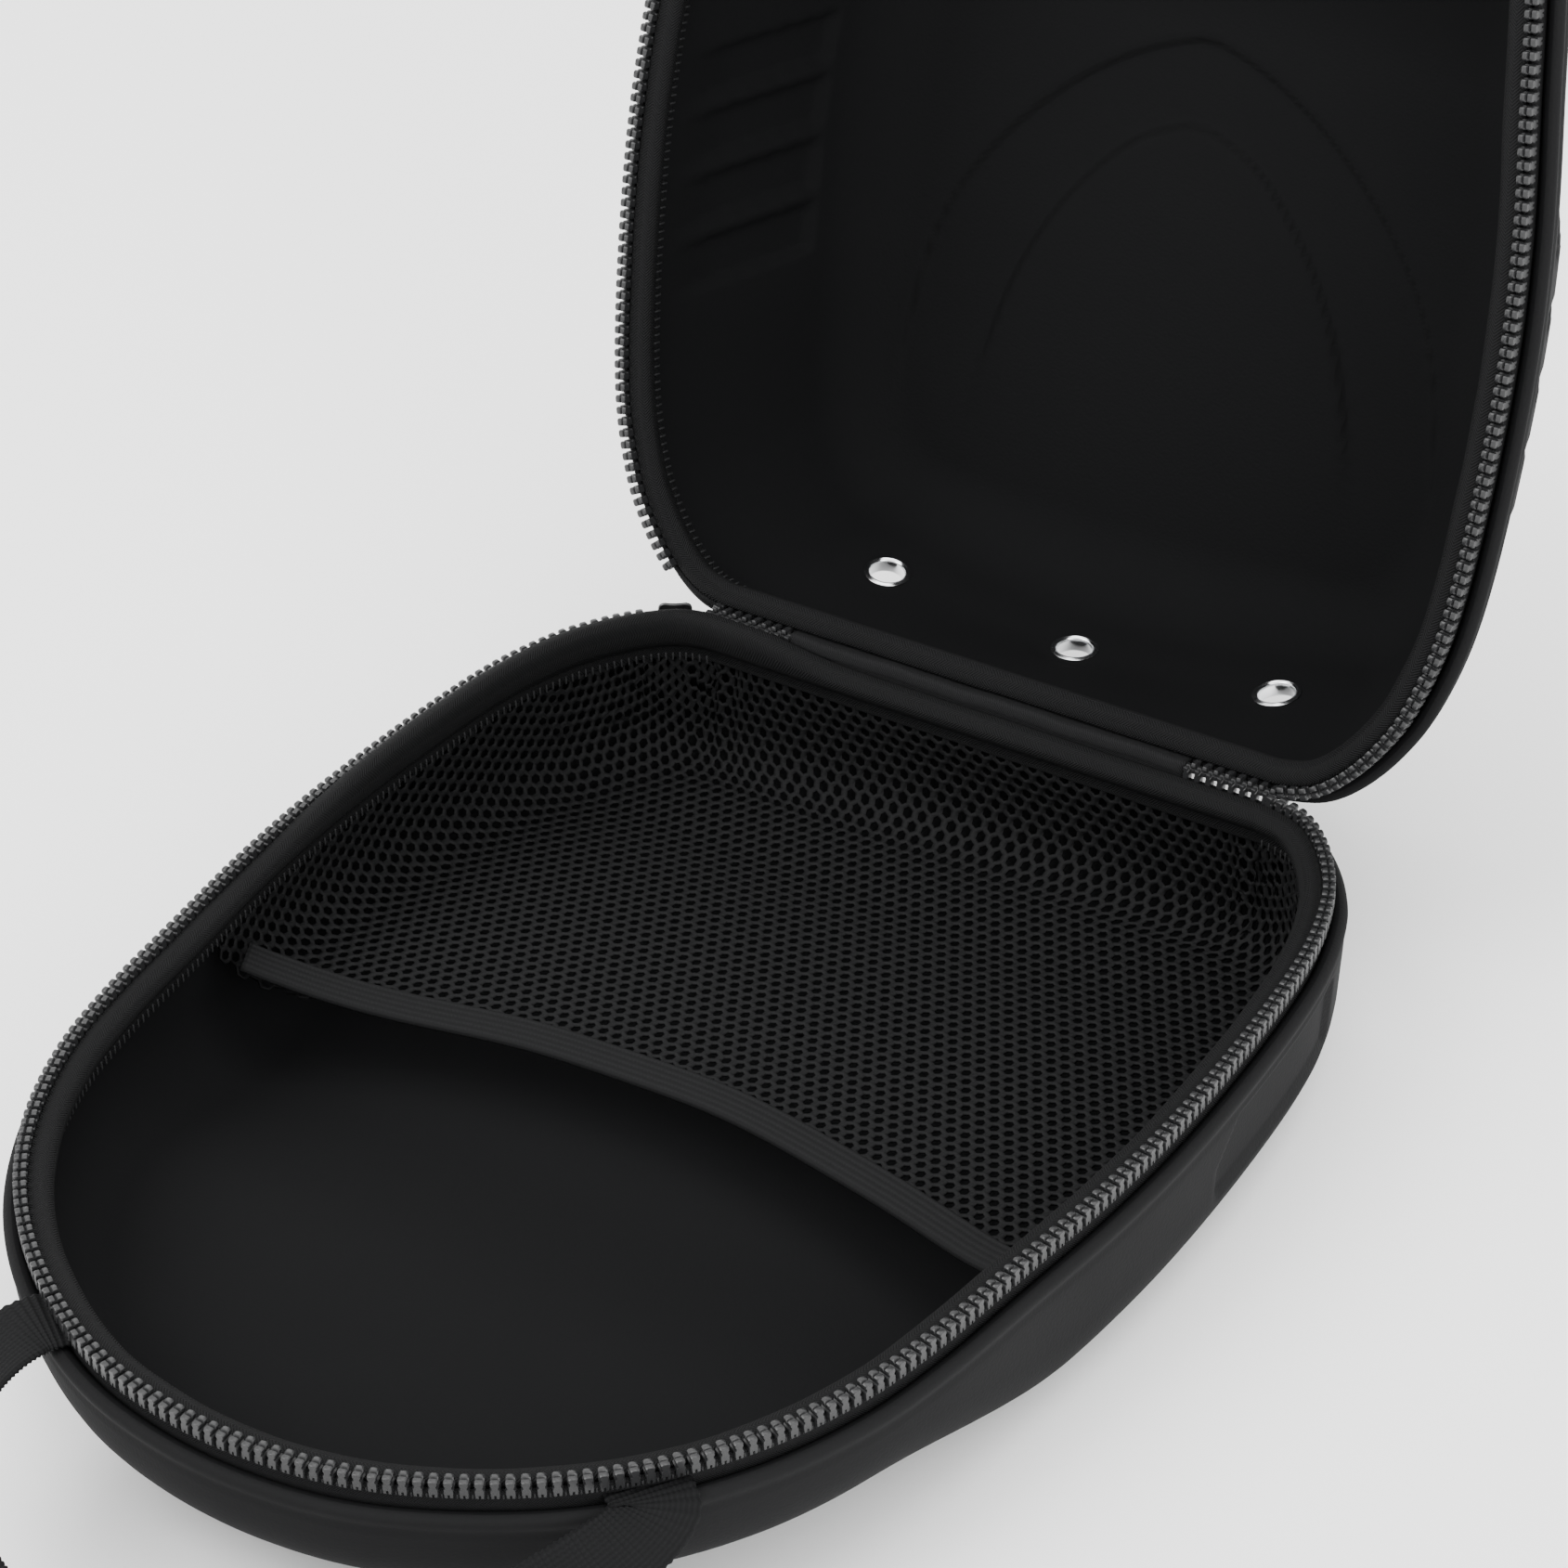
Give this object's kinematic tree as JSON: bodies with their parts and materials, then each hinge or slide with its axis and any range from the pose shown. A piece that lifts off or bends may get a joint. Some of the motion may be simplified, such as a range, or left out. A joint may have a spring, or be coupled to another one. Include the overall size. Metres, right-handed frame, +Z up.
{
  "type": "baseball cap carrier case",
  "caption": "Zip-round moulded case for carrying a baseball cap: shallow base with a mesh pocket, deep hinged lid with vent eyelets, webbing handle.",
  "frame": {"origin": "on the flat underside of the base, on the middle plane, 90 mm in front of the hinge line", "axes": "+Z up from the floor, +Y to the hinge at the back, +X to the right seen from the narrow front end"},
  "size_m": [0.2472, 0.4655, 0.3429],
  "materials": {
    "shell_cloth": "matt black cloth over moulded foam board",
    "zip_tape": "woven black twill tape",
    "zip_teeth": "moulded black plastic, satin",
    "rim_binding": "ribbed black binding cloth",
    "mesh": "black spacer mesh with round holes",
    "elastic": "black ribbed elastic tape",
    "webbing": "black woven webbing, edge to edge ribs",
    "hinge_cloth": "black twill",
    "slider_metal": "black enamelled zinc",
    "eyelet_metal": "bright nickel plate"
  },
  "bodies": {
    "base": {"base_shell": "shell_cloth", "base_zipper_tape": "zip_tape", "base_zipper_teeth": "zip_teeth", "base_rim_roll": "rim_binding", "mesh_pocket": "mesh", "pocket_edge_band": "elastic", "handle_strap": "webbing", "base_hinge_cloth": "hinge_cloth", "zipper_slider": "slider_metal"},
    "lid": {"lid_shell": "shell_cloth", "lid_zipper_tape": "zip_tape", "lid_zipper_teeth": "zip_teeth", "lid_rim_roll": "rim_binding", "lid_hinge_cloth": "hinge_cloth", "grommet_left": "eyelet_metal", "grommet_middle": "eyelet_metal", "grommet_right": "eyelet_metal"}
  },
  "joints": [
    {"name": "lid_hinge", "type": "hinge", "parent": "base", "child": "lid", "pos_m": [0, 0.09, 0.049], "axis": [1, 0, 0], "range_deg": [0, 103.3]}
  ]
}
